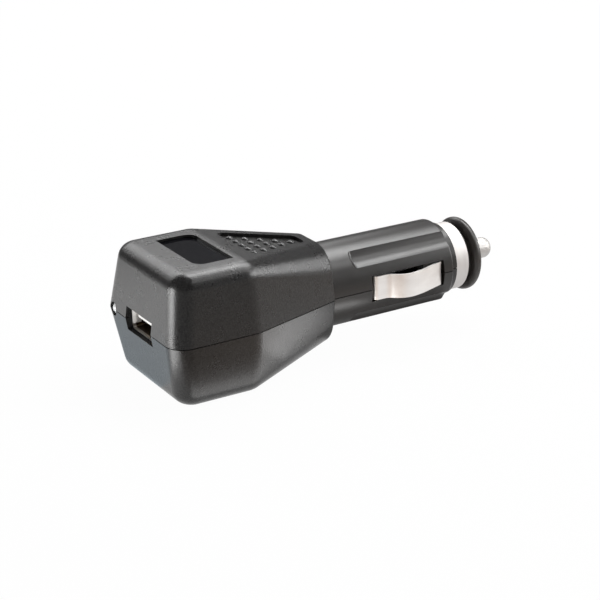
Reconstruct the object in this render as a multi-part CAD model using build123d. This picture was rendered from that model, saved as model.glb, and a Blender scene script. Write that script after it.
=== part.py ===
from build123d import *
import os
from math import cos, radians, sin, sqrt, tan

os.makedirs("parts", exist_ok=True)

# Frame: origin on the plug axis where the head meets the barrel, +X to the tip, +Z up, millimetres.

# Head outside
draft_angle = 9.0
front_x = -46.4
crease_x = -25.0
head_half_width = 19.2
head_half_height = 15.9
end_half_width = 11.3
end_drop = 3.4
corner_radius = 5.0
edge_radius = 4.0
end_edge_radius = 7.5
crease_radius = 8.0
rim_radius = 0.8
wall = 2.0
half_seam = 0.1
slope = tan(radians(draft_angle))
end_half_height = head_half_height - end_drop

# Barrel: round root, then a slight mould draft with flutes, a collar and a nose
barrel_radius = 10.4
barrel_end_x = 36.5
barrel_draft = 0.06
root_length = 6.7
collar_length = 1.8
collar_drop = 1.3
land_edge = 0.5
end_wall = 3.5
flute_radius = 5.5
flute_depth = 0.85
flute_angle = 47.0
flute_round = 1.2
window_start_x = 11.0
window_end_gap = 1.1
window_clearance = 0.25
nose_radius = 7.6
nose_length = 4.5
nose_wall = 1.3
land_end_x = barrel_end_x - collar_length
land_end_radius = barrel_radius - barrel_draft
collar_radius = barrel_radius - collar_drop
bore_radius = barrel_radius - wall
bore_end_x = barrel_end_x - end_wall
window_end_x = bore_end_x - window_end_gap
nose_end_x = barrel_end_x + nose_length
nose_bore_radius = nose_radius - nose_wall

# Lip that lines up the two half shells
lip_thickness = 0.9
lip_height = 1.2
lip_clearance = 0.08
lip_setback = 0.15
lip_root = 0.2
lip_end_x = -4.0
barrel_lip_setback = 0.1
barrel_lip_gap = 0.4
barrel_lip_inner = bore_radius + barrel_lip_setback
barrel_lip_outer = barrel_lip_inner + lip_thickness
barrel_lip_end_x = window_start_x - barrel_lip_gap

# Label recess and grip recess in the top
label_margin = 1.3
label_length = 9.5
label_half_width = 10.4
label_corner = 2.8
label_depth = 0.7
grip_margin = 4.0
grip_end_x = -3.0
grip_base_half = 9.5
grip_end_half = 2.7
grip_corner = 1.6
grip_depth = 0.8
dot_base_margin = 2.61
dot_end_margin = 2.37
dot_pitch_y = 3.141
dot_rows = 5
dot_radius = 0.85
dot_top_radius = 0.45
dot_height = 0.5
label_back_x = crease_x - label_margin
label_front_x = label_back_x - label_length
grip_base_x = crease_x + grip_margin
dot_first_x = grip_base_x + dot_base_margin
dot_pitch_x = (grip_end_x - dot_end_margin - dot_first_x) / (dot_rows - 1)

# Side contacts
strip_thickness = 0.5
strip_half_width = 3.0
strip_bore_gap = 0.35
strip_root_x = -8.6
strip_land_drop = 0.35
strip_crest_rise = 2.3
strip_bow_rise = 0.45
strip_bow_fall = 0.55
strip_end_drop = 0.65
strip_rise_run = 1.1
strip_land_run = 3.5
strip_ramp_run = 3.4
strip_bow_run = 5.5
strip_end_gap = 0.7
strip_root_bend = 0.6
strip_land_bend = 1.3
strip_ramp_bend = 2.5
strip_crest_bend = 6.2
strip_tail_bend = 20.0
strip_root_y = sqrt(bore_radius ** 2 - strip_half_width ** 2) - strip_bore_gap
strip_crest_y = barrel_radius + strip_crest_rise
strip_land_y = barrel_radius - strip_land_drop
window_half_height = strip_half_width + window_clearance

# Fuse, 6.3 by 30 mm, the ribs that hold it on the axis and the spring behind it
fuse_radius = 3.15
fuse_length = 30.0
fuse_cap_length = 6.0
fuse_cap_sheet = 0.25
glass_gap = 0.03
glass_wall = 0.6
element_radius = 0.12
rib_front_inset = 3.5
rib_back_inset = 4.4
rib_thickness = 1.4
rib_half_width = 4.8
rib_clearance = 0.3
spring_wire_radius = 0.35
spring_radius = 2.4
spring_coils = 5
rib_positions = (window_start_x + rib_front_inset, window_end_x - rib_back_inset)

# Ring, end cap and tip
ring_gap = 0.1
ring_end_gap = 0.4
ring_clearance = 0.05
ring_wall = 0.88
ring_chamfer = 0.2
cap_neck_drop = 0.3
cap_neck_length = 1.0
cap_flange_thickness = 2.2
cap_overhang = 0.77
cap_thread_clearance = 0.4
cap_thread_length = 7.0
cap_seat_depth = 3.0
cap_room_gap = 0.35
tip_radius = 2.65
tip_reach = 8.2
tip_end_round = 2.1
tip_clearance = 0.1
tip_flange_reach = 1.5
tip_flange_thickness = 1.6
seat_gap = 0.05
ring_start_x = barrel_end_x + ring_gap
ring_end_x = nose_end_x - ring_end_gap
ring_radius = nose_radius + ring_clearance + ring_wall
cap_flange_x = nose_end_x + cap_neck_length
cap_face_x = cap_flange_x + cap_flange_thickness
cap_radius = ring_radius + cap_overhang
cap_rim_round = 0.45 * cap_flange_thickness
tip_end_x = cap_face_x + tip_reach
tip_flange_radius = tip_radius + tip_flange_reach

# USB-A receptacle in its port
port_side_gap = 0.2
port_gap = 0.09
usb_setback = 1.7
usb_length = 13.9
usb_half_width = 6.55
usb_half_height = 2.83
usb_sheet = 0.3
usb_depth = 8.9
usb_fit = 0.03
usb_seat_gap = 0.05
flare_length = 0.8
flare_depth = 0.2
flare_half_height = 1.8
tongue_setback = 1.15
tongue_half_width = 5.55
tongue_bottom_z = 0.05
tongue_thickness = 1.84
contact_thickness = 0.25
contact_half_width = 0.5
contact_inner_y = 1.0
contact_outer_y = 3.5
contact_inset = 0.9
tail_gap = 0.3
tail_reach = 0.6
tail_hole_gap = 0.1
usb_front_x = front_x + usb_setback
tongue_front_x = usb_front_x + tongue_setback
port_half_width = usb_half_width + port_side_gap
port_half_height = usb_half_height + port_gap

# Circuit board and the posts that clamp it
board_thickness = 1.6
board_front_clearance = 0.4
board_side_clearance = 0.7
board_strip_gap = 0.05
board_end_x = -5.2
board_tail_length = 4.8
board_wide_gap = 1.0
board_corner = 3.0
post_radius = 2.2
post_usb_gap = 0.45
peg_radius = 1.0
peg_clearance = 0.06
peg_top_z = 0.6
front_post_setback = 9.5
rear_post_gap = 2.6
rear_post_y = 6.8
touch_gap = 0.03
board_top_z = -usb_half_height + usb_fit - usb_seat_gap
board_bottom_z = board_top_z - board_thickness
board_front_x = front_x + wall - board_bottom_z * slope + board_front_clearance
board_half_width = head_half_width - wall + board_bottom_z * slope - board_side_clearance
board_tail_half = strip_root_y - strip_thickness - board_strip_gap
board_tail_x = board_end_x - board_tail_length
board_wide_end_x = crease_x + board_wide_gap
front_post_x = front_x + front_post_setback
front_post_y = usb_half_width + post_usb_gap + post_radius
rear_post_x = board_tail_x - rear_post_gap

# Indicator lamp
lamp_side_gap = 5.36
lamp_hole_clearance = 0.2
lamp_radius = 1.5
lamp_setback = 0.2
lamp_length = 5.3
lamp_flange_reach = 0.45
lamp_flange_length = 1.0
lead_half = 0.25
lead_pitch = 2.54
lead_reach = 1.5
lamp_y = head_half_width - lamp_side_gap
lamp_hole_radius = lamp_radius + lamp_hole_clearance
lamp_tip_x = front_x + lamp_setback
lamp_flange_radius = lamp_radius + lamp_flange_reach

# Terminal that carries the spring, on the end of the board
terminal_sheet = 0.5
terminal_half = 3.3
terminal_overhang = 1.2
terminal_foot = 4.0
terminal_top_z = 3.2
terminal_face_x = board_end_x + terminal_overhang
terminal_foot_x = board_end_x - terminal_foot

# Parts of the step-down converter
part_gap = 1.1
core_radius = 4.6
core_height = 8.5
core_flange = 1.2
core_neck = 2.3
inductor_y = -7.3
winding_radius = 4.2
winding_gap = 0.05
input_radius = 4.0
input_height = 11.5
input_y = 6.2
output_radius = 3.15
output_height = 11.0
output_offset = 6.6
output_side_gap = 1.5
can_round = 0.5
crimp_low = 1.2
crimp_width = 0.7
crimp_depth = 0.3
chip_length = 4.9
chip_width = 3.9
chip_height = 1.5
chip_lift = 0.15
chip_chamfer = 0.3
chip_offset = 0.8
leg_count = 4
leg_pitch = 1.27
leg_half = 0.2
leg_sheet = 0.2
leg_reach = 1.05
leg_knee = 0.4
leg_height = 0.7
diode_half_length = 2.15
diode_half_width = 1.3
diode_height = 2.2
diode_chamfer = 0.35
diode_side_gap = 2.9
diode_offset = 7.5
resistor_count = 3
resistor_pitch = 2.9
resistor_gap = 0.75
resistor_half_length = 1.0
resistor_half_width = 0.62
resistor_height = 0.5
inductor_x = rear_post_x - post_radius - part_gap - core_radius
output_x = inductor_x - output_offset
chip_x = rear_post_x - chip_offset


def half_section(x, width, height):
    """Upper half of a head cross-section with drafted sides."""
    top = width - height * slope
    outline = Polyline((-width, 0), (width, 0), (top, height), (-top, height), close=True)
    return Plane.YZ.offset(x) * make_face(outline)


def half_wire(width, height, radius):
    """Outline of a rounded half section, drawn from named tangent points."""
    turn = radians(90 - draft_angle)
    reach = radius * tan(turn / 2)
    corner = width - height * slope
    low = (corner + reach * sin(radians(draft_angle)), height - reach * cos(radians(draft_angle)))
    high = (corner - reach, height)
    centre = (high[0], height - radius)
    bend = radians((90 + draft_angle) / 2)
    mid = (centre[0] + radius * cos(bend), centre[1] + radius * sin(bend))
    return Wire([
        Line((-width, 0), (width, 0)),
        Line((width, 0), low),
        ThreePointArc(low, mid, high),
        Line(high, (-high[0], height)),
        ThreePointArc((-high[0], height), (-mid[0], mid[1]), (-low[0], low[1])),
        Line((-low[0], low[1]), (-width, 0)),
    ])


def half_head(inset):
    """Upper half of the head, pulled in all round by the inset."""
    x0 = front_x + inset
    x2 = -inset
    w1 = head_half_width - inset
    h1 = head_half_height - inset
    w2 = end_half_width - inset
    h2 = end_half_height - inset
    r1 = edge_radius - inset
    r2 = end_edge_radius - inset
    prism = extrude(half_section(crease_x, w1, h1), amount=x0 - crease_x - 1)
    side = Polyline((x0, 0), (crease_x, 0), (crease_x, h1), (x0 + h1 * slope, h1), close=True)
    box = prism & extrude(Plane.XZ * make_face(side), amount=w1 + 1, both=True)
    upright = [e for e in box.edges() if abs(e.center().Z - h1 / 2) < 0.1 and e.center().X < crease_x - 1]
    box = fillet(upright, corner_radius - inset)
    rim = [e for e in box.edges() if e.bounding_box().min.Z > h1 - 0.01 and e.center().X < crease_x - 0.1]
    box = fillet(rim, r1)
    near = Plane.YZ.offset(crease_x) * make_face(half_wire(w1, h1, r1))
    far = Plane.YZ.offset(x2) * make_face(half_wire(w2, h2, r2))
    return box + loft([near, far], ruled=True)


def turned(points):
    """Solid turned about the plug axis from (x, radius) points."""
    return revolve(Plane.XZ * make_face(Polyline(*points, close=True)), Axis.X)


def rod(start_x, end_x, radius, y=0.0, z=0.0):
    """Cylinder along X."""
    plane = Plane(origin=(start_x, y, z), x_dir=(0, 1, 0), z_dir=(1, 0, 0))
    return plane * Cylinder(radius, end_x - start_x, align=(Align.CENTER, Align.CENTER, Align.MIN))


def upright_rod(x, y, low_z, high_z, radius):
    """Cylinder along Z."""
    return Pos(x, y, low_z) * Cylinder(radius, high_z - low_z, align=(Align.CENTER, Align.CENTER, Align.MIN))


def block(x0, x1, y0, y1, z0, z1):
    """Box between two corners."""
    return Pos((x0 + x1) / 2, (y0 + y1) / 2, (z0 + z1) / 2) * Box(x1 - x0, y1 - y0, z1 - z0)


def plan(inset, low_z, high_z):
    """Prism over the head's plan outline at the seam."""
    x0 = front_x + inset
    w1 = head_half_width - inset
    w2 = end_half_width - inset
    outline = make_face(Polyline((x0, -w1), (crease_x, -w1), (-inset, -w2), (-inset, w2),
                                 (crease_x, w1), (x0, w1), close=True))
    front = [v for v in outline.vertices() if v.X < x0 + 0.01]
    outline = fillet(front, corner_radius - inset)
    return Pos(0, 0, low_z) * extrude(outline, amount=high_z - low_z)


# Body blank: drafted half head and half barrel, hollowed, shared by both shells
big = 100.0
upper_space = block(-big, big, -big, big, half_seam, big)
head = half_head(0)
crease = [e for e in head.edges() if abs(e.center().X - crease_x) < 0.01
          and e.bounding_box().size.X < 0.01 and e.bounding_box().max.Z > 0.1]
head = fillet(crease, crease_radius)
rim = [e for e in head.edges() if abs(e.center().X) < 0.01 and e.bounding_box().max.Z > 0.1]
head = fillet(rim, rim_radius)

barrel_lines = [
    Line((-wall, 0), (-wall, barrel_radius)),
    Line((-wall, barrel_radius), (root_length, barrel_radius)),
    Line((root_length, barrel_radius), (land_end_x - land_edge, land_end_radius)),
    TangentArc((land_end_x - land_edge, land_end_radius), (land_end_x, land_end_radius - land_edge),
               tangent=(1, 0)),
    Line((land_end_x, land_end_radius - land_edge), (land_end_x, collar_radius)),
    Line((land_end_x, collar_radius), (barrel_end_x, collar_radius)),
    Line((barrel_end_x, collar_radius), (barrel_end_x, nose_radius)),
    Line((barrel_end_x, nose_radius), (nose_end_x, nose_radius)),
    Line((nose_end_x, nose_radius), (nose_end_x, 0)),
    Line((nose_end_x, 0), (-wall, 0)),
]
barrel = revolve(Plane.XZ * make_face(Wire(barrel_lines)), Axis.X)
flute = rod(root_length, nose_end_x, flute_radius)
flute_end = [e for e in flute.edges() if abs(e.center().X - root_length) < 0.01]
flute = fillet(flute_end, flute_round)
flute_offset = barrel_radius - flute_depth + flute_radius
flutes = []
for side in (1, -1):
    for level in (1, -1):
        y = side * flute_offset * cos(radians(flute_angle))
        z = level * flute_offset * sin(radians(flute_angle))
        flutes.append(Pos(0, y, z) * flute)
barrel = barrel - flutes

blank = head + (barrel & upper_space)
blank = blank - half_head(wall)
blank = blank - rod(-wall - 1, bore_end_x, bore_radius)
blank = blank - rod(bore_end_x - 1, nose_end_x + 1, nose_bore_radius)
window = block(window_start_x, window_end_x, -big, big, -window_half_height, window_half_height)
blank = blank - window
for rib_x in rib_positions:
    rib = block(rib_x, rib_x + rib_thickness, -rib_half_width, rib_half_width, 0, bore_radius + wall / 2)
    rib = rib & rod(rib_x, rib_x + rib_thickness, bore_radius + wall / 4)
    blank = blank + (rib - rod(rib_x - 1, rib_x + rib_thickness + 1, fuse_radius + rib_clearance))
port = block(front_x - 1, front_x + 2 * wall, -port_half_width, port_half_width,
             -port_half_height, port_half_height)
lamp_hole = rod(front_x - 1, front_x + 2 * wall, lamp_hole_radius, lamp_y)
blank = (blank - port) & upper_space

top_fall = end_drop / -crease_x


def post_root(x):
    """Height of the middle of the top wall above a board post."""
    return head_half_height - wall / 2 - top_fall * max(x - crease_x, 0)


# Top shell
post_spots = [(front_post_x, front_post_y), (front_post_x, -front_post_y),
              (rear_post_x, rear_post_y), (rear_post_x, -rear_post_y)]
rebate = plan(wall - lip_thickness - lip_clearance, -1, lip_height + lip_clearance)
rebate = rebate & block(-big, lip_end_x + lip_clearance, -big, big, -1, big)
barrel_rebate_half = barrel_lip_outer + lip_clearance
barrel_rebate = block(lip_end_x - 1, barrel_lip_end_x + lip_clearance, -barrel_rebate_half,
                      barrel_rebate_half, -1, lip_height + lip_clearance)
top_shell = blank - lamp_hole - rebate - barrel_rebate
for x, y in post_spots:
    post = upright_rod(x, y, board_top_z + touch_gap, post_root(x), post_radius)
    peg_hole = upright_rod(x, y, board_top_z - 1, peg_top_z + 2 * peg_clearance, peg_radius + peg_clearance)
    top_shell = top_shell + post - peg_hole

label = make_face(Polyline((label_front_x, -label_half_width), (label_back_x, -label_half_width),
                           (label_back_x, label_half_width), (label_front_x, label_half_width), close=True))
label_round = [v for v in label.vertices() if (v.X < label_back_x - 1) == (v.Y < 0)]
label = fillet(label_round, label_corner)
top_shell = top_shell - Pos(0, 0, head_half_height - label_depth) * extrude(label, amount=2 * label_depth)

top_plane = Plane(origin=(crease_x, 0, head_half_height), x_dir=(1, 0, -top_fall), z_dir=(top_fall, 0, 1))
grip_scale = sqrt(1 + top_fall ** 2)


def along_top(x):
    """Distance from the crease along the sloping top."""
    return (x - crease_x) * grip_scale


grip = make_face(Polyline((along_top(grip_base_x), -grip_base_half), (along_top(grip_end_x), -grip_end_half),
                          (along_top(grip_end_x), grip_end_half), (along_top(grip_base_x), grip_base_half),
                          close=True))
grip = fillet(grip.vertices(), grip_corner)
grip_floor = top_plane.offset(-grip_depth)
top_shell = top_shell - grip_floor * extrude(grip, amount=2 * grip_depth)
dot = Pos(0, 0, dot_height / 2) * Cone(dot_radius, dot_top_radius, dot_height)
dot = dot + Pos(0, 0, -dot_height / 2) * Cylinder(dot_radius, dot_height)
dots = []
for column in range(dot_rows):
    count = dot_rows - column
    for row in range(count):
        y = (row - (count - 1) / 2) * dot_pitch_y
        dots.append(grip_floor * Pos(along_top(dot_first_x + column * dot_pitch_x), y, 0) * dot)
top_shell = top_shell + dots

# Bottom shell: the blank turned over, with the lip, the posts and the pegs
turn_over = Rot(180, 0, 0)
bottom_shell = turn_over * blank - lamp_hole
lip_low_z = -half_seam - lip_root
lip = plan(wall - lip_thickness, lip_low_z, lip_height)
lip = lip - plan(wall - lip_setback, lip_low_z - 1, lip_height + 1)
lip = lip & block(-big, lip_end_x, -big, big, -big, big)
bottom_shell = bottom_shell + (lip - port - lamp_hole)
for side in (1, -1):
    inner = side * barrel_lip_inner
    outer = side * barrel_lip_outer
    bottom_shell = bottom_shell + block(lip_end_x, barrel_lip_end_x, min(inner, outer), max(inner, outer),
                                        lip_low_z, lip_height)
for x, y in post_spots:
    post = upright_rod(x, y, -post_root(x), board_bottom_z - touch_gap, post_radius)
    peg = upright_rod(x, y, board_bottom_z - 1, peg_top_z, peg_radius)
    bottom_shell = bottom_shell + post + peg

# Side contacts: one bent strip on each side, its outer line first and the other one sheet thickness inside it
strip_rise_x = window_start_x
strip_land_x = strip_rise_x + strip_rise_run
strip_ramp_x = strip_land_x + strip_land_run
strip_crest_x = strip_ramp_x + strip_ramp_run
strip_bow_x = strip_crest_x + strip_bow_run
strip_end_x = window_end_x - strip_end_gap
strip_path = [
    (strip_root_x, strip_root_y),
    (strip_rise_x, strip_root_y),
    (strip_land_x, strip_land_y),
    (strip_ramp_x, strip_land_y),
    (strip_crest_x, strip_crest_y + strip_bow_rise),
    (strip_bow_x, strip_crest_y - strip_bow_fall),
    (strip_end_x, barrel_radius - strip_end_drop),
]
strip_bends = (strip_root_bend, strip_land_bend, strip_ramp_bend, strip_crest_bend, strip_tail_bend)


def strip_normal(start, end):
    """Unit direction from the outer line towards the plug axis."""
    run = sqrt((end[0] - start[0]) ** 2 + (end[1] - start[1]) ** 2)
    return ((end[1] - start[1]) / run, (start[0] - end[0]) / run)


def side_contact(side):
    """Spring strip on the +Y side (1) or the -Y side (-1)."""
    last = len(strip_path) - 1
    normals = [strip_normal(strip_path[i], strip_path[i + 1]) for i in range(last)]
    inner_path = []
    for i, (x, y) in enumerate(strip_path):
        before = normals[max(i - 1, 0)]
        after = normals[min(i, last - 1)]
        share = strip_thickness / (1 + before[0] * after[0] + before[1] * after[1])
        inner_path.append((x + share * (before[0] + after[0]), y + share * (before[1] + after[1])))
    outline = [(x, side * y) for x, y in strip_path + inner_path[::-1]]
    strip = make_face(Polyline(*outline, close=True))
    for i in range(1, last):
        turn = normals[i - 1][0] * normals[i][1] - normals[i - 1][1] * normals[i][0]
        opens_out = turn > 0
        inner_radius = strip_bends[i - 1] + (strip_thickness if opens_out else -strip_thickness)
        for spot, radius in ((strip_path[i], strip_bends[i - 1]), (inner_path[i], inner_radius)):
            corner = [v for v in strip.vertices()
                      if abs(v.X - spot[0]) < 0.001 and abs(v.Y - side * spot[1]) < 0.001]
            strip = fillet(corner, radius)
    return extrude(Pos(0, 0, -strip_half_width) * strip, amount=2 * strip_half_width, dir=(0, 0, 1))


side_contact_left = side_contact(1)
side_contact_right = side_contact(-1)

# Nose ring, end cap, tip
nose_ring = rod(ring_start_x, ring_end_x, ring_radius)
nose_ring = nose_ring - rod(ring_start_x - 1, ring_end_x + 1, nose_radius + ring_clearance)
ring_edges = [e for e in nose_ring.edges()
              if e.bounding_box().size.Z > 2 * ring_radius - 0.01 and e.bounding_box().size.X < 0.01]
nose_ring = chamfer(ring_edges, ring_chamfer)

cap_start_x = nose_end_x - cap_thread_length
cap_seat_x = nose_end_x - cap_seat_depth
cap_back_x = nose_end_x + seat_gap
cap_thread_radius = nose_bore_radius - cap_thread_clearance
cap_neck_radius = nose_radius - cap_neck_drop
cap_hole_radius = tip_radius + tip_clearance
cap_room_radius = tip_flange_radius + cap_room_gap
end_cap = turned([
    (cap_start_x, cap_room_radius), (cap_start_x, cap_thread_radius),
    (cap_back_x, cap_thread_radius), (cap_back_x, cap_neck_radius),
    (cap_flange_x, cap_neck_radius), (cap_flange_x, cap_radius),
    (cap_face_x, cap_radius), (cap_face_x, cap_hole_radius),
    (cap_seat_x, cap_hole_radius), (cap_seat_x, cap_room_radius),
])
cap_rim = [e for e in end_cap.edges() if e.bounding_box().size.Z > 2 * cap_radius - 0.01]
end_cap = fillet(cap_rim, cap_rim_round)

tip_shoulder_x = cap_seat_x - seat_gap
tip_back_x = tip_shoulder_x - tip_flange_thickness
tip_contact = turned([
    (tip_back_x, 0), (tip_back_x, tip_flange_radius), (tip_shoulder_x, tip_flange_radius),
    (tip_shoulder_x, tip_radius), (tip_end_x, tip_radius), (tip_end_x, 0),
])
tip_end = [e for e in tip_contact.edges() if abs(e.center().X - tip_end_x) < 0.01]
tip_contact = fillet(tip_end, tip_end_round)

# Fuse
fuse_front_x = tip_back_x - seat_gap
fuse_back_x = fuse_front_x - fuse_length
glass_radius = fuse_radius - fuse_cap_sheet - glass_gap
glass_back_x = fuse_back_x + fuse_cap_sheet + glass_gap
glass_front_x = fuse_front_x - fuse_cap_sheet - glass_gap
fuse_glass = rod(glass_back_x, glass_front_x, glass_radius)
fuse_glass = fuse_glass - rod(glass_back_x - 1, glass_front_x + 1, glass_radius - glass_wall)


def fuse_cup(open_x, closed_x):
    """Sheet cup over one end of the glass."""
    way = 1 if closed_x > open_x else -1
    inside_x = closed_x - way * fuse_cap_sheet
    inside_radius = fuse_radius - fuse_cap_sheet
    return turned([
        (open_x, inside_radius), (open_x, fuse_radius), (closed_x, fuse_radius),
        (closed_x, 0), (inside_x, 0), (inside_x, inside_radius),
    ])


fuse_cap_front = fuse_cup(fuse_front_x - fuse_cap_length, fuse_front_x)
fuse_cap_rear = fuse_cup(fuse_back_x + fuse_cap_length, fuse_back_x)
fuse_element = rod(glass_back_x, glass_front_x, element_radius)

# Terminal: one bent sheet, its foot on the board and its face against the spring
part_z = board_top_z + touch_gap
foot_top_z = part_z + terminal_sheet
terminal_back_x = terminal_face_x - terminal_sheet
terminal_line = Polyline(
    (terminal_foot_x, part_z), (terminal_face_x, part_z), (terminal_face_x, terminal_top_z),
    (terminal_back_x, terminal_top_z), (terminal_back_x, foot_top_z), (terminal_foot_x, foot_top_z),
    close=True)
spring_terminal = extrude(Plane.XZ * make_face(terminal_line), amount=terminal_half, both=True)

# Spring between the terminal and the fuse
spring_start_x = terminal_face_x + spring_wire_radius + touch_gap
spring_end_x = fuse_back_x - spring_wire_radius - touch_gap
spring_run = spring_end_x - spring_start_x
spring_plane = Plane(origin=(spring_start_x, 0, 0), x_dir=(0, 1, 0), z_dir=(1, 0, 0))
coil = spring_plane * Helix(spring_run / spring_coils, spring_run, spring_radius)
spring_face = Plane(origin=coil @ 0, z_dir=coil % 0) * Circle(spring_wire_radius)
fuse_spring = sweep(spring_face, path=coil)

# Circuit board with the holes for the pegs, the lamp leads and the USB tails
board_shoulder_y = board_half_width - board_corner
board_outline = make_face(Polyline(
    (board_front_x, -board_shoulder_y), (board_front_x + board_corner, -board_half_width),
    (board_wide_end_x, -board_half_width), (board_tail_x, -board_tail_half), (board_end_x, -board_tail_half),
    (board_end_x, board_tail_half), (board_tail_x, board_tail_half), (board_wide_end_x, board_half_width),
    (board_front_x + board_corner, board_half_width), (board_front_x, board_shoulder_y), close=True))
circuit_board = Pos(0, 0, board_bottom_z) * extrude(board_outline, amount=board_thickness)
drill_low = board_bottom_z - 1
drill_high = board_top_z + 1
for x, y in post_spots:
    circuit_board = circuit_board - upright_rod(x, y, drill_low, drill_high, peg_radius + peg_clearance)

# USB receptacle: drawn can with a flared mouth, moulded tongue and four contacts
usb_back_x = usb_front_x + usb_length
can_low_z = -usb_half_height + usb_fit
can = block(usb_front_x, usb_back_x, -usb_half_width, usb_half_width, can_low_z, usb_half_height)
can = fillet([e for e in can.edges() if e.bounding_box().size.X > usb_length - 0.01], 2 * usb_sheet)
mouth_half = usb_half_width - usb_sheet
mouth = block(usb_front_x - 1, usb_back_x + 1, -mouth_half, mouth_half,
              can_low_z + usb_sheet, usb_half_height - usb_sheet)
mouth = fillet([e for e in mouth.edges() if e.bounding_box().size.X > usb_length], usb_sheet)
usb_shell = can - mouth
flare_line = Polyline((usb_front_x, mouth_half), (usb_front_x, mouth_half + flare_depth),
                      (usb_front_x + flare_length, mouth_half), close=True)
flare = extrude(make_face(flare_line), amount=flare_half_height, dir=(0, 0, 1), both=True)
usb_shell = usb_shell - flare - mirror(flare, about=Plane.XZ)

body_front_x = usb_front_x + usb_depth
body_half_width = mouth_half - usb_fit
body_low_z = can_low_z + usb_sheet + usb_fit
body_high_z = usb_half_height - usb_sheet - usb_fit
body_back_x = usb_back_x - usb_sheet
usb_tongue = block(body_front_x, body_back_x, -body_half_width, body_half_width, body_low_z, body_high_z)
usb_tongue = fillet([e for e in usb_tongue.edges()
                     if e.bounding_box().size.X > body_back_x - body_front_x - 0.01], usb_sheet)
usb_tongue = usb_tongue + block(tongue_front_x, body_front_x + 1, -tongue_half_width, tongue_half_width,
                                tongue_bottom_z, tongue_bottom_z + tongue_thickness)
tail_x = usb_back_x + tail_gap
tail_end_x = tail_x + contact_thickness
tail_low_z = board_bottom_z - tail_reach
blade_low_z = tongue_bottom_z - contact_thickness
blade_high_z = tongue_bottom_z - usb_fit
usb_contacts = []
for y in (-contact_outer_y, -contact_inner_y, contact_inner_y, contact_outer_y):
    left = y - contact_half_width
    right = y + contact_half_width
    blade = block(tongue_front_x + contact_inset, tail_end_x, left, right, blade_low_z, blade_high_z)
    tail = block(tail_x, tail_end_x, left, right, tail_low_z, blade_high_z)
    usb_contacts.append(blade + tail)
    usb_tongue = usb_tongue - block(body_front_x - 1, usb_back_x + 1, left - usb_fit, right + usb_fit,
                                    blade_low_z - usb_fit, tongue_bottom_z)
    circuit_board = circuit_board - block(tail_x - tail_hole_gap, tail_end_x + tail_hole_gap,
                                          left - tail_hole_gap, right + tail_hole_gap, drill_low, drill_high)

# Indicator lamp and its two leads
lamp_back_x = lamp_tip_x + lamp_length
led_lens = rod(lamp_tip_x + lamp_radius, lamp_back_x, lamp_radius, lamp_y)
led_lens = led_lens + Pos(lamp_tip_x + lamp_radius, lamp_y, 0) * Sphere(lamp_radius)
led_lens = led_lens + rod(lamp_back_x - lamp_flange_length, lamp_back_x, lamp_flange_radius, lamp_y)
lead_bend_x = lamp_back_x + lead_reach
led_leads = []
for side in (-1, 1):
    y = lamp_y + side * lead_pitch / 2
    run = block(lamp_back_x + touch_gap, lead_bend_x + lead_half, y - lead_half, y + lead_half,
                -lead_half, lead_half)
    drop = block(lead_bend_x - lead_half, lead_bend_x + lead_half, y - lead_half, y + lead_half,
                 tail_low_z, lead_half)
    led_leads.append(run + drop)
    circuit_board = circuit_board - upright_rod(lead_bend_x, y, drill_low, drill_high, 2 * lead_half)

# Inductor: bobbin core and its winding
core_top_z = part_z + core_height
inductor_core = upright_rod(inductor_x, inductor_y, part_z, part_z + core_flange, core_radius)
inductor_core = inductor_core + upright_rod(inductor_x, inductor_y, part_z, core_top_z, core_neck)
inductor_core = inductor_core + upright_rod(inductor_x, inductor_y, core_top_z - core_flange,
                                            core_top_z, core_radius)
winding_low = part_z + core_flange + winding_gap
winding_high = core_top_z - core_flange - winding_gap
inductor_winding = upright_rod(inductor_x, inductor_y, winding_low, winding_high, winding_radius)
inductor_winding = inductor_winding - upright_rod(inductor_x, inductor_y, winding_low - 1, winding_high + 1,
                                                  core_neck + winding_gap)


def can_capacitor(x, y, radius, height):
    """Upright electrolytic can with a rolled top edge and a crimp groove."""
    can_body = upright_rod(x, y, part_z, part_z + height, radius)
    can_body = fillet(can_body.edges().group_by(Axis.Z)[-1], can_round)
    groove_low = part_z + crimp_low
    groove = upright_rod(x, y, groove_low, groove_low + crimp_width, radius + 1)
    groove = groove - upright_rod(x, y, groove_low, groove_low + crimp_width, radius - crimp_depth)
    return can_body - groove


output_y = board_half_width - output_side_gap - output_radius
input_capacitor = can_capacitor(inductor_x, input_y, input_radius, input_height)
output_capacitor = can_capacitor(output_x, output_y, output_radius, output_height)

# Regulator chip with four legs on each side
chip_low_z = part_z + chip_lift
chip_front_x = chip_x - chip_length / 2
regulator_body = block(chip_front_x, chip_x + chip_length / 2, -chip_width / 2, chip_width / 2,
                       chip_low_z, chip_low_z + chip_height)
regulator_body = chamfer(regulator_body.edges().group_by(Axis.Z)[-1], chip_chamfer)
leg_near_y = chip_width / 2 + touch_gap
leg_knee_y = leg_near_y + leg_knee
leg_low_z = part_z + leg_height
leg_high_z = leg_low_z + leg_sheet
regulator_legs = []
for side in (-1, 1):
    for i in range(leg_count):
        x = chip_x + (i - (leg_count - 1) / 2) * leg_pitch
        knee = block(x - leg_half, x + leg_half, leg_near_y, leg_knee_y, leg_low_z, leg_high_z)
        drop = block(x - leg_half, x + leg_half, leg_knee_y - leg_sheet, leg_knee_y, part_z, leg_high_z)
        toe = block(x - leg_half, x + leg_half, leg_knee_y - leg_sheet, leg_near_y + leg_reach,
                    part_z, part_z + leg_sheet)
        leg = knee + drop + toe
        if side < 0:
            leg = mirror(leg, about=Plane.XZ)
        regulator_legs.append(leg)

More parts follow.
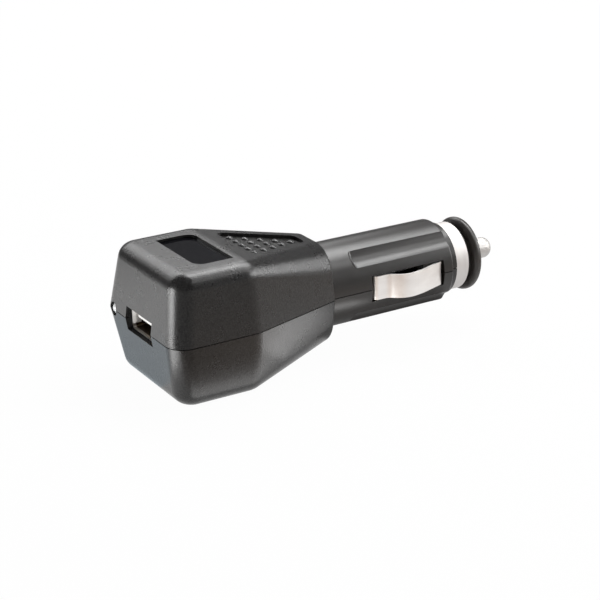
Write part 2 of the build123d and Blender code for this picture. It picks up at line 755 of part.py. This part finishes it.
diode_x = inductor_x - diode_offset
diode_y = diode_side_gap + diode_half_width - board_half_width
diode = block(diode_x - diode_half_length, diode_x + diode_half_length, diode_y - diode_half_width,
              diode_y + diode_half_width, part_z, part_z + diode_height)
diode = chamfer(diode.edges().group_by(Axis.Z)[-1], diode_chamfer)

chip_resistors = []
for i in range(resistor_count):
    x = chip_front_x - resistor_gap - resistor_half_length - i * resistor_pitch
    chip_resistors.append(block(x - resistor_half_length, x + resistor_half_length,
                                -resistor_half_width, resistor_half_width, part_z, part_z + resistor_height))


def group(solids):
    """Several separate solids in one node."""
    return Compound(children=[Compound(s.wrapped) for s in solids])


nodes = {
    "top_shell": top_shell,
    "bottom_shell": bottom_shell,
    "side_contact_left": side_contact_left,
    "side_contact_right": side_contact_right,
    "nose_ring": nose_ring,
    "end_cap": end_cap,
    "tip_contact": tip_contact,
    "fuse_glass": fuse_glass,
    "fuse_cap_front": fuse_cap_front,
    "fuse_cap_rear": fuse_cap_rear,
    "fuse_element": fuse_element,
    "fuse_spring": fuse_spring,
    "spring_terminal": spring_terminal,
    "circuit_board": circuit_board,
    "usb_shell": usb_shell,
    "usb_tongue": usb_tongue,
    "usb_contacts": group(usb_contacts),
    "led_lens": led_lens,
    "led_leads": group(led_leads),
    "inductor_core": inductor_core,
    "inductor_winding": inductor_winding,
    "input_capacitor": input_capacitor,
    "output_capacitor": output_capacitor,
    "regulator_body": regulator_body,
    "regulator_legs": group(regulator_legs),
    "diode": diode,
    "chip_resistors": group(chip_resistors),
}
for name, shape in nodes.items():
    export_step(shape, f"parts/{name}.step")
    print(name, len(shape.solids()), round(shape.volume, 2))
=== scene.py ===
import bpy
from math import cos, radians, sin
from mathutils import Matrix, Vector


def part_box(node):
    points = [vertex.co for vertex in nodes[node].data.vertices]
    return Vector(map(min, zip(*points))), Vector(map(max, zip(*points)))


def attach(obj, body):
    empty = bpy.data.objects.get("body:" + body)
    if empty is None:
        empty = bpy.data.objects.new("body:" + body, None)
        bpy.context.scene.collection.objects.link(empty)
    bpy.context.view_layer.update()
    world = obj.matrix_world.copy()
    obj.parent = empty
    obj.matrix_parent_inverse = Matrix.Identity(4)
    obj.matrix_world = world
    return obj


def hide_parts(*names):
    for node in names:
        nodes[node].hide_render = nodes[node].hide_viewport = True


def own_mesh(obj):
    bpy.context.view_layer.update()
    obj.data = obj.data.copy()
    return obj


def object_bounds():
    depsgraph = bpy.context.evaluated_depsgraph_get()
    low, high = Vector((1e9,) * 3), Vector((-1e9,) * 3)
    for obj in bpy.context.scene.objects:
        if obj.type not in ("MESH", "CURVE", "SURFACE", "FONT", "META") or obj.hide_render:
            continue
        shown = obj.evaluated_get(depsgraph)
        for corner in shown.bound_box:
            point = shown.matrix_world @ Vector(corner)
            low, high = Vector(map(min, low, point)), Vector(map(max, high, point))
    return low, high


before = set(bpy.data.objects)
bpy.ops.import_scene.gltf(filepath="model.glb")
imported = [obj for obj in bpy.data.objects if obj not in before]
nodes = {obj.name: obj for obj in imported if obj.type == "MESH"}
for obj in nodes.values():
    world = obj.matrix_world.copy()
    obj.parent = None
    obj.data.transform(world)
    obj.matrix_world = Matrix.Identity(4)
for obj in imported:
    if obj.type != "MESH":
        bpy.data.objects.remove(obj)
cad_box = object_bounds()

MM = 0.001
FULL_TURN = radians(360)
QUARTER_TURN = radians(90)
WHITE = (1.0, 1.0, 1.0)
ORIGIN = (0, 0, 0)

# Places of the Mix node's sockets, whose names repeat for each kind of data
MIX_NUMBERS = (2, 3)
MIX_NUMBER_RESULT = 0
MIX_COLOURS = (6, 7)
MIX_COLOUR_RESULT = 2

# Where the finish of the shells changes, in metres: barrel, label recess and port opening, which also
# gets painted shade
head_front_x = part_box("top_shell")[0][0]
head_top_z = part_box("top_shell")[1][2]
barrel_start_x = 0.05 * MM
label_floor_z = head_top_z - 0.7 * MM
label_floor_reach = 0.1 * MM
label_centre_x = -31.05 * MM
label_half_length = 5.0 * MM
label_half_width = 10.5 * MM
port_front_x = head_front_x + 0.6 * MM
port_back_x = -30 * MM
port_half_width = 6.9 * MM
port_half_height = 3.1 * MM

# Can of the port: its bright lip and the lit part of its far wall, which keep the tin's colour as painted
# light; the rest is painted shade
can_front_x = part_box("usb_shell")[0][0]
can_lip = 0.75 * MM
can_wall_y = 5.2 * MM
can_wall_z = -1.6 * MM
can_wall_reach = 2.2 * MM

# Grip dots on the sloping top behind the crease, as the CAD has them, and their crowns
crease_x = -25.0 * MM
taper_run = 25.0 * MM
taper_drop = 3.4 * MM
grip_depth = 0.8 * MM
dot_columns = 5
dot_first = 6.61 * MM
dot_pitch_x = 3.255 * MM
dot_pitch_y = 3.141 * MM
crown_radius = 0.93 * MM
crown_height = 0.55 * MM
crown_rings = 7
crown_sides = 20

# Spring behind the fuse, as the CAD has it
spring_low, spring_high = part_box("fuse_spring")
spring_length = spring_high[0] - spring_low[0]
wire_radius = 0.35 * MM
wire_sides = 12
coil_radius = 2.4 * MM
coil_count = 5
coil_steps = 40 * coil_count

# Floor: its size, how much of it is plain white to the camera, and where its reflection is not white
floor_z = cad_box[0][2]
floor_size = 4.0
floor_centre_y = 1.85
floor_camera_share = 0.975
front_shade_y = (-30 * MM, -19 * MM)
front_shade_x = (-75 * MM, -5 * MM)
front_shade_levels = (0.02, 0.7)
bright_patch_x = 44 * MM
bright_patch_y = -40 * MM
bright_patch_radii = (24 * MM, 44 * MM)
under_barrel_x = (22 * MM, 18 * MM)
under_barrel_y = (5 * MM, 20 * MM)
under_barrel_level = 0.34
floor_behind_y = (150 * MM, 260 * MM)
floor_behind_level = 0.12
warm_tint = (1.0, 0.84, 0.73)
cool_tint = (0.88, 0.98, 1.05)
cool_x = (-56 * MM, 14 * MM)
cool_y = (20 * MM, 22 * MM)

# World: the room that reflections see past the floor, and the light that the room gives
room_below = (0.3, 0.27, 0.25)
room_above = (0.15, 0.15, 0.155)
room_behind = (0.12, 0.12, 0.124)
room_light = (0.12, 0.12, 0.12)
room_fade = (0.46, 0.56)
horizon_white = (0.49, 0.515)
room_behind_y = (0.4, 0.75)

# Softboxes round the object: place, width, depth and power in watts
softboxes = (
    ("top_softbox", (0.33, 0.17, 0.645), 0.55, 0.17, 4.2),
    ("back_softbox", (0.09, 0.6, 0.43), 0.6, 0.25, 2.0),
    ("edge_softbox", (-0.24, 0.68, 0.31), 0.22, 0.16, 0.26),
    ("left_softbox", (-0.7, 0.13, 0.055), 0.3, 0.13, 1.5),
    ("flute_softbox", (0.38, -0.27, 0.58), 0.2, 0.2, 0.8),
    ("end_softbox", (0.72, -0.09, 0.34), 0.2, 0.2, 0.7),
    ("right_softbox", (0.6, -0.37, 0.27), 0.3, 0.3, 3.0),
)

# Panels that lie on the table and shine up: x, y, width and depth in millimetres, and power in watts
panel_rise = 1 * MM
panel_aim_z = 1.0
panels = (
    ("left_panel", -92, 62, 50, 100, 0.011),
    ("corner_panel", -86, -16, 60, 20, 0.02),
    ("far_panel", -550, 95, 700, 240, 7.0),
    ("head_panel", -25, -20.5, 36, 4, 0.0008),
    ("taper_panel", 4, -22, 26, 8, 0.0024),
)

# Camera, fitted to the photograph
camera_target = Vector((-3.278 * MM, 0.095 * MM, -2.781 * MM))
camera_distance = 419.33 * MM
camera_azimuth = radians(-29.580)
camera_elevation = radians(21.074)
camera_roll = radians(-1.686)
camera_lens = 103.99
camera_sensor = 36.0
camera_clip_start = 0.01


# Node helpers

def new_material(name):
    """Empty node material: returns it with its tree and its shader."""
    material = bpy.data.materials.new(name)
    material.use_nodes = True
    tree = material.node_tree
    return material, tree, tree.nodes["Principled BSDF"]


def add(tree, kind, **settings):
    """Adds a node and sets its plain properties."""
    node = tree.nodes.new(kind)
    for key, value in settings.items():
        setattr(node, key, value)
    return node


def feed(tree, value, socket):
    """Sets a socket to a number or a colour, or links another socket to it."""
    if isinstance(value, (int, float)):
        socket.default_value = value
    elif isinstance(value, tuple):
        socket.default_value = (*value, 1)
    else:
        tree.links.new(value, socket)


def math_node(tree, operation, *values):
    """Math node whose inputs are sockets or numbers."""
    node = add(tree, "ShaderNodeMath", operation=operation)
    for value, socket in zip(values, node.inputs):
        feed(tree, value, socket)
    return node.outputs[0]


def split(tree, vector):
    """X, Y and Z of a vector socket."""
    node = add(tree, "ShaderNodeSeparateXYZ")
    tree.links.new(vector, node.inputs[0])
    return node.outputs


def own_space(tree):
    """Where a point is in the piece's own space."""
    return add(tree, "ShaderNodeTexCoord").outputs["Object"]


def noise(tree, scale, detail=2.0, roughness=0.5, stretch=(1, 1, 1)):
    """Noise in the piece's own space, in cycles per metre."""
    mapping = add(tree, "ShaderNodeMapping")
    mapping.inputs["Scale"].default_value = stretch
    node = add(tree, "ShaderNodeTexNoise")
    node.inputs["Scale"].default_value = scale
    node.inputs["Detail"].default_value = detail
    node.inputs["Roughness"].default_value = roughness
    tree.links.new(own_space(tree), mapping.inputs["Vector"])
    tree.links.new(mapping.outputs["Vector"], node.inputs["Vector"])
    return node.outputs["Fac"]


def ramp(tree, value, low, high, start=0.3, end=0.7):
    """Colour ramp between two colours."""
    node = add(tree, "ShaderNodeValToRGB")
    first, last = node.color_ramp.elements
    first.position = start
    last.position = end
    first.color = (*low, 1)
    last.color = (*high, 1)
    tree.links.new(value, node.inputs["Fac"])
    return node.outputs["Color"]


def spread(tree, value, low, high, start=0.0, end=1.0):
    """Maps a value between start and end to a range of numbers."""
    node = add(tree, "ShaderNodeMapRange")
    node.inputs["From Min"].default_value = start
    node.inputs["From Max"].default_value = end
    node.inputs["To Min"].default_value = low
    node.inputs["To Max"].default_value = high
    tree.links.new(value, node.inputs["Value"])
    return node.outputs["Result"]


def bump(tree, shader, height, strength, distance):
    """Bump from a height socket."""
    node = add(tree, "ShaderNodeBump")
    node.inputs["Strength"].default_value = strength
    node.inputs["Distance"].default_value = distance
    tree.links.new(height, node.inputs["Height"])
    tree.links.new(node.outputs["Normal"], shader.inputs["Normal"])


def above(tree, value, limit):
    """1 where the value is greater than the limit."""
    return math_node(tree, "GREATER_THAN", value, limit)


def below(tree, value, limit):
    """1 where the value is less than the limit."""
    return math_node(tree, "LESS_THAN", value, limit)


def inside(tree, value, centre, reach):
    """1 where the value is within reach of the centre."""
    return math_node(tree, "COMPARE", value, centre, reach)


def both(tree, *shares):
    """Product of several 0 to 1 values."""
    result = shares[0]
    for share in shares[1:]:
        result = math_node(tree, "MULTIPLY", result, share)
    return result


def square(tree, value):
    """The value times itself."""
    return math_node(tree, "MULTIPLY", value, value)


def mix(tree, kind, share, values, places, result):
    """Mix node that goes from the first value to the second with share."""
    node = add(tree, "ShaderNodeMix", data_type=kind)
    tree.links.new(share, node.inputs["Factor"])
    for value, at in zip(values, places):
        feed(tree, value, node.inputs[at])
    return node.outputs[result]


def mix_number(tree, share, first, second):
    """Number that goes from first to second with share."""
    return mix(tree, "FLOAT", share, (first, second), MIX_NUMBERS, MIX_NUMBER_RESULT)


def mix_colour(tree, share, first, second):
    """Colour that goes from first to second with share."""
    return mix(tree, "RGBA", share, (first, second), MIX_COLOURS, MIX_COLOUR_RESULT)


def mirrored_rays(tree, path):
    """1 for rays that come from a reflection or through glass."""
    return math_node(tree, "MAXIMUM", path.outputs["Is Glossy Ray"], path.outputs["Is Transmission Ray"])


# Materials

def surface(name, low, high, rough, scale, metallic=0.0, relief=0.0):
    """Common finish: a colour that varies a little, uneven gloss and a fine relief."""
    material, tree, shader = new_material(name)
    grain = noise(tree, scale, detail=3.0)
    tree.links.new(ramp(tree, grain, low, high), shader.inputs["Base Color"])
    tree.links.new(spread(tree, grain, *rough), shader.inputs["Roughness"])
    shader.inputs["Metallic"].default_value = metallic
    if relief:
        bump(tree, shader, grain, strength=0.4, distance=relief)
    return material


def shell_material():
    """Black moulding: spark-eroded head, smoother barrel, polished label recess, rough and darker inside
    the port, where the darker colour is painted shade.
    """
    material, tree, shader = new_material("moulded_shell")
    x, y, z = split(tree, own_space(tree))
    barrel = above(tree, x, barrel_start_x)
    label = both(tree, inside(tree, z, label_floor_z, label_floor_reach),
                 inside(tree, x, label_centre_x, label_half_length),
                 inside(tree, y, 0.0, label_half_width))
    port = both(tree, inside(tree, y, 0.0, port_half_width), inside(tree, z, 0.0, port_half_height),
                above(tree, x, port_front_x), below(tree, x, port_back_x))
    spark = noise(tree, scale=2800.0, detail=2.0, roughness=0.6)
    cloud = noise(tree, scale=260.0, detail=2.0)
    head_colour = ramp(tree, spark, low=(0.005, 0.0048, 0.0047), high=(0.026, 0.0248, 0.024),
                       start=0.35, end=0.68)
    barrel_colour = (0.017, 0.0148, 0.0132)
    label_colour = (0.003, 0.003, 0.0045)
    # Painted shade: a darker colour inside the port opening
    port_painted_shade_colour = (0.003, 0.003, 0.003)
    colour = mix_colour(tree, barrel, head_colour, barrel_colour)
    colour = mix_colour(tree, label, colour, label_colour)
    colour = mix_colour(tree, port, colour, port_painted_shade_colour)
    tree.links.new(colour, shader.inputs["Base Color"])
    head_rough = spread(tree, cloud, low=0.25, high=0.31)
    barrel_rough = spread(tree, cloud, low=0.29, high=0.35)
    label_rough = 0.07
    port_rough = 0.8
    rough = mix_number(tree, barrel, head_rough, barrel_rough)
    rough = mix_number(tree, label, rough, label_rough)
    rough = mix_number(tree, port, rough, port_rough)
    tree.links.new(rough, shader.inputs["Roughness"])
    barrel_smooth = 0.85
    level = 0.5
    smooth = math_node(tree, "MAXIMUM", math_node(tree, "MULTIPLY", barrel, barrel_smooth), label)
    bump(tree, shader, mix_number(tree, smooth, spark, level), strength=1.0, distance=0.05 * MM)
    return material


def plated_material(name, low, high, rough, stretch):
    """Bright plated metal with faint drawing marks along one direction."""
    material, tree, shader = new_material(name)
    marks = noise(tree, scale=700.0, stretch=stretch)
    tree.links.new(ramp(tree, marks, low, high), shader.inputs["Base Color"])
    tree.links.new(spread(tree, marks, *rough), shader.inputs["Roughness"])
    shader.inputs["Metallic"].default_value = 1.0
    bump(tree, shader, marks, strength=0.15, distance=0.004 * MM)
    return material


def can_material():
    """Tin-plated can of the port: painted light keeps it bright at its lip and on its far wall, painted
    shade makes it dark further in.
    """
    material, tree, shader = new_material("tin_plate_painted_light")
    x, y, z = split(tree, own_space(tree))
    rim = below(tree, x, can_front_x + can_lip)
    wall = both(tree, above(tree, y, can_wall_y), above(tree, z, can_wall_z),
                below(tree, x, can_front_x + can_wall_reach))
    lip_light_share = 0.6
    wall_rough = 0.65
    # Painted light: share of the bright tin colour at the lip and on the lit far wall; elsewhere the
    # painted shade colour
    painted_light_share = math_node(tree, "MAXIMUM", math_node(tree, "MULTIPLY", rim, lip_light_share), wall)
    grain = noise(tree, scale=800.0, detail=3.0)
    bright = ramp(tree, grain, low=(0.88, 0.86, 0.83), high=(0.94, 0.92, 0.9))
    # Painted shade: a dark brown colour that stands in for the shade inside the port
    painted_shade_tin = ramp(tree, grain, low=(0.08, 0.063, 0.046), high=(0.19, 0.15, 0.105))
    tree.links.new(mix_colour(tree, painted_light_share, painted_shade_tin, bright), shader.inputs["Base Color"])
    rough = mix_number(tree, wall, spread(tree, grain, low=0.26, high=0.4), wall_rough)
    tree.links.new(rough, shader.inputs["Roughness"])
    shader.inputs["Metallic"].default_value = 1.0
    return material


def clear_material(name, low, high, rough, scale, clearness):
    """Clear resin or glass."""
    material = surface(name, low, high, rough, scale)
    shader = material.node_tree.nodes["Principled BSDF"]
    shader.inputs["Transmission Weight"].default_value = clearness
    shader.inputs["IOR"].default_value = 1.5
    return material


def dress(material, *names):
    """Gives CAD nodes a material."""
    for name in names:
        mesh = nodes[name].data
        mesh.materials.clear()
        mesh.materials.append(material)


dress(shell_material(), "top_shell", "bottom_shell")
dress(plated_material("plated_strip", low=(0.78, 0.755, 0.735), high=(0.85, 0.83, 0.81),
                      rough=(0.32, 0.39), stretch=(0.15, 1, 1)),
      "side_contact_left", "side_contact_right")
dress(plated_material("plated_turning", low=(0.6, 0.58, 0.565), high=(0.67, 0.65, 0.635),
                      rough=(0.56, 0.62), stretch=(1, 0.15, 0.15)),
      "nose_ring", "fuse_cap_front", "fuse_cap_rear")
dress(plated_material("plated_pin", low=(0.47, 0.455, 0.44), high=(0.56, 0.545, 0.53),
                      rough=(0.5, 0.56), stretch=(1, 0.15, 0.15)),
      "tip_contact")
dress(surface("satin_cap", low=(0.032, 0.0275, 0.0245), high=(0.044, 0.038, 0.034),
              rough=(0.34, 0.42), scale=500.0),
      "end_cap")
dress(can_material(), "usb_shell")
dress(surface("white_moulding", low=(0.8, 0.79, 0.77), high=(0.86, 0.85, 0.83),
              rough=(0.4, 0.5), scale=1200.0),
      "usb_tongue")
dress(surface("gold_flash", low=(0.75, 0.55, 0.22), high=(0.86, 0.66, 0.3),
              rough=(0.2, 0.3), scale=900.0, metallic=1.0),
      "usb_contacts")
dress(clear_material("lamp_resin", low=(0.93, 0.95, 0.95), high=(0.97, 0.98, 0.98),
                     rough=(0.04, 0.1), scale=700.0, clearness=0.2),
      "led_lens")
tinned_wire = surface("tinned_wire", low=(0.55, 0.55, 0.55), high=(0.68, 0.68, 0.67),
                      rough=(0.25, 0.38), scale=900.0, metallic=1.0)
dress(tinned_wire, "led_leads", "regulator_legs", "fuse_element", "fuse_spring")
dress(clear_material("fuse_glass", low=(0.95, 0.97, 0.97), high=(0.98, 0.99, 0.99),
                     rough=(0.01, 0.04), scale=500.0, clearness=1.0),
      "fuse_glass")
dress(surface("stamped_brass", low=(0.62, 0.46, 0.2), high=(0.74, 0.56, 0.27),
              rough=(0.25, 0.36), scale=700.0, metallic=1.0),
      "spring_terminal")
dress(surface("solder_mask", low=(0.012, 0.09, 0.035), high=(0.02, 0.14, 0.055),
              rough=(0.28, 0.4), scale=400.0),
      "circuit_board")
dress(surface("ferrite", low=(0.03, 0.03, 0.032), high=(0.06, 0.06, 0.062),
              rough=(0.6, 0.75), scale=1500.0, relief=0.02 * MM),
      "inductor_core")
dress(surface("copper_winding", low=(0.42, 0.14, 0.05), high=(0.6, 0.24, 0.1),
              rough=(0.25, 0.4), scale=1800.0, metallic=1.0),
      "inductor_winding")
dress(surface("can_sleeve", low=(0.012, 0.016, 0.04), high=(0.02, 0.026, 0.06),
              rough=(0.3, 0.42), scale=500.0),
      "input_capacitor", "output_capacitor")
dress(surface("moulding_compound", low=(0.016, 0.016, 0.016), high=(0.03, 0.03, 0.03),
              rough=(0.5, 0.65), scale=2500.0, relief=0.01 * MM),
      "regulator_body", "diode", "chip_resistors")


# Added pieces

def add_piece(name, corners, faces, material, slot):
    """New smooth mesh piece with the given material."""
    mesh = bpy.data.meshes.new(name)
    mesh.from_pydata(corners, [], faces)
    mesh.shade_smooth()
    mesh.materials.append(material)
    piece = bpy.data.objects.new(name, mesh)
    bpy.context.collection.objects.link(piece)
    return piece


def band(first, sides):
    """Faces between a ring of corners and the next ring."""
    faces = []
    for side in range(sides):
        here = first + side
        beside = first + (side + 1) % sides
        faces.append((here, beside, beside + sides, here + sides))
    return faces


def crown_mesh():
    """Corners and faces of a rounded crown on each grip dot."""
    crease = Vector((crease_x, 0, head_top_z))
    slope = Vector((taper_run, 0, -taper_drop)).normalized()
    normal = Vector((taper_drop, 0, taper_run)).normalized()
    across = Vector((0, 1, 0))
    corners = []
    faces = []
    for column in range(dot_columns):
        count = dot_columns - column
        along = (dot_first + dot_pitch_x * column) / slope.x
        for row in range(count):
            foot = crease + slope * along - normal * grip_depth
            foot.y = (row - (count - 1) / 2) * dot_pitch_y
            first = len(corners)
            for ring in range(crown_rings):
                rise = QUARTER_TURN * ring / crown_rings
                for side in range(crown_sides):
                    turn = FULL_TURN * side / crown_sides
                    out = slope * cos(turn) + across * sin(turn)
                    reach = out * cos(rise) * crown_radius
                    corners.append(foot + reach + normal * sin(rise) * crown_height)
            top = len(corners)
            corners.append(foot + normal * crown_height)
            for ring in range(crown_rings - 1):
                faces.extend(band(first + ring * crown_sides, crown_sides))
            last = top - crown_sides
            for side in range(crown_sides):
                faces.append((last + side, last + (side + 1) % crown_sides, top))
    return corners, faces


def coil_mesh():
    """Corners and faces of a round wire wound along X over the spring's length."""
    run = spring_length - 2 * wire_radius
    climb = run / (FULL_TURN * coil_count)
    corners = []
    faces = []
    for step in range(coil_steps + 1):
        turn = FULL_TURN * coil_count * step / coil_steps
        outward = Vector((0, cos(turn), sin(turn)))
        ahead = Vector((climb, -coil_radius * sin(turn), coil_radius * cos(turn))).normalized()
        across = ahead.cross(outward)
        start = Vector((spring_low[0] + wire_radius + run * step / coil_steps, 0, 0))
        centre = start + coil_radius * outward
        for side in range(wire_sides):
            angle = FULL_TURN * side / wire_sides
            corners.append(centre + wire_radius * (cos(angle) * outward + sin(angle) * across))
    for step in range(coil_steps):
        faces.extend(band(step * wire_sides, wire_sides))
    faces.append(tuple(reversed(range(wire_sides))))
    faces.append(tuple(range(coil_steps * wire_sides, (coil_steps + 1) * wire_sides)))
    return corners, faces


# Rounded crowns of the grip dots, on the dots that the CAD has, glossy and coloured lighter than the
# shell as a painted highlight
dot_gloss_painted_highlight = surface("dot_gloss_painted_highlight", low=(0.05, 0.05, 0.05), high=(0.075, 0.075, 0.075),
                    rough=(0.16, 0.22), scale=900.0)
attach(add_piece("grip_dot_crowns", *crown_mesh(), dot_gloss_painted_highlight, "shell"), "housing")

# Spring behind the fuse, as a coil over the spring's length
coil = add_piece("fuse_spring_coil", *coil_mesh(), tinned_wire, "spring")
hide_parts("fuse_spring")
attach(coil, "housing")
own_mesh(coil)


# Stage

def floor_glow(tree, x, y, shade):
    """Floor's brightness in reflections: less in front of the head, under the barrel and far behind."""
    dim = spread(tree, x, *front_shade_levels, *front_shade_x)
    under = both(tree, inside(tree, x, *under_barrel_x), inside(tree, y, *under_barrel_y))
    glow = mix_number(tree, under, mix_number(tree, shade, 1.0, dim), under_barrel_level)
    behind = spread(tree, y, 0.0, 1.0, *floor_behind_y)
    return mix_number(tree, behind, glow, floor_behind_level)


def floor_material():
    """Pale table top: near white to the camera with a faint shadow, and glowing in reflections."""
    material, tree, shader = new_material("pale_floor")
    shader.inputs["Base Color"].default_value = (0.72, 0.72, 0.72, 1)
    shader.inputs["Roughness"].default_value = 0.9
    shader.inputs["Specular IOR Level"].default_value = 0.0
    path = add(tree, "ShaderNodeLightPath")
    seen = path.outputs["Is Camera Ray"]
    mirrored = mirrored_rays(tree, path)
    share = math_node(tree, "MAXIMUM", math_node(tree, "MULTIPLY", seen, floor_camera_share), mirrored)

    x, y = split(tree, add(tree, "ShaderNodeNewGeometry").outputs["Position"])[:2]
    front = spread(tree, y, 1.0, 0.0, *front_shade_y)
    patch_x = math_node(tree, "SUBTRACT", x, bright_patch_x)
    patch_y = math_node(tree, "SUBTRACT", y, bright_patch_y)
    gap = math_node(tree, "SQRT", math_node(tree, "ADD", square(tree, patch_x), square(tree, patch_y)))
    shade = both(tree, front, spread(tree, gap, 0.0, 1.0, *bright_patch_radii))

    warm = both(tree, shade, mirrored)
    cool = both(tree, mirrored, inside(tree, x, *cool_x), inside(tree, y, *cool_y))
    tint = mix_colour(tree, cool, mix_colour(tree, warm, WHITE, warm_tint), cool_tint)
    light = add(tree, "ShaderNodeEmission")
    tree.links.new(tint, light.inputs["Color"])
    strength = mix_number(tree, seen, floor_glow(tree, x, y, shade), 1.0)
    tree.links.new(strength, light.inputs["Strength"])

    blend = add(tree, "ShaderNodeMixShader")
    for value, socket in zip((share, shader.outputs[0], light.outputs[0]), blend.inputs):
        tree.links.new(value, socket)
    tree.links.new(blend.outputs[0], tree.nodes["Material Output"].inputs["Surface"])
    return material


def studio_world():
    """World: white to the camera; in reflections a warm grey room below the table, white at the
    table's edge, and grey above it and behind."""
    world = bpy.data.worlds.new("studio")
    world.use_nodes = True
    tree = world.node_tree
    path = add(tree, "ShaderNodeLightPath")
    y, z = split(tree, add(tree, "ShaderNodeTexCoord").outputs["Generated"])[1:]
    height = spread(tree, z, 0.0, 1.0, -1.0, 1.0)
    room = ramp(tree, height, room_below, room_above, *room_fade)
    for stop in horizon_white:
        room.node.color_ramp.elements.new(stop).color = (*WHITE, 1)
    behind = spread(tree, y, 0.0, 1.0, *room_behind_y)
    room = mix_colour(tree, behind, room, room_behind)
    colour = mix_colour(tree, mirrored_rays(tree, path), room_light, room)
    colour = mix_colour(tree, path.outputs["Is Camera Ray"], colour, WHITE)
    tree.links.new(colour, tree.nodes["Background"].inputs["Color"])
    return world


def soft_light(name, spot, aim, width, depth, power):
    """Rectangular area lamp aimed at a point."""
    data = bpy.data.lights.new(name, "AREA")
    data.shape = "RECTANGLE"
    data.size = width
    data.size_y = depth
    data.energy = power
    lamp = bpy.data.objects.new(name, data)
    bpy.context.collection.objects.link(lamp)
    lamp.location = spot
    lamp.rotation_euler = (Vector(aim) - Vector(spot)).to_track_quat("-Z", "Y").to_euler()


def photo_camera():
    """Camera at the photograph's viewing angle."""
    level = cos(camera_elevation)
    back = Vector((sin(camera_azimuth) * level, -cos(camera_azimuth) * level, sin(camera_elevation)))
    right = (-back).cross(Vector((0, 0, 1))).normalized()
    up = right.cross(-back)
    tilted_right = cos(camera_roll) * right + sin(camera_roll) * up
    tilted_up = -sin(camera_roll) * right + cos(camera_roll) * up
    turn = Matrix((tilted_right, tilted_up, back)).transposed().to_4x4()
    data = bpy.data.cameras.new("photo_camera")
    data.lens = camera_lens
    data.sensor_width = camera_sensor
    data.clip_start = camera_clip_start
    camera = bpy.data.objects.new("photo_camera", data)
    bpy.context.collection.objects.link(camera)
    camera.matrix_world = Matrix.Translation(camera_target + back * camera_distance) @ turn
    return camera


bpy.ops.mesh.primitive_plane_add(size=floor_size, location=(0, floor_centre_y, floor_z))
floor = bpy.context.object
floor.name = "floor"
floor.data.materials.append(floor_material())
bpy.context.scene.world = studio_world()
for name, spot, width, depth, power in softboxes:
    soft_light(name, spot, ORIGIN, width, depth, power)
for name, x, y, width, depth, power in panels:
    soft_light(name, (x * MM, y * MM, floor_z + panel_rise), (x * MM, y * MM, panel_aim_z),
               width * MM, depth * MM, power)
bpy.context.scene.camera = photo_camera()
bpy.context.scene.view_settings.view_transform = "Standard"
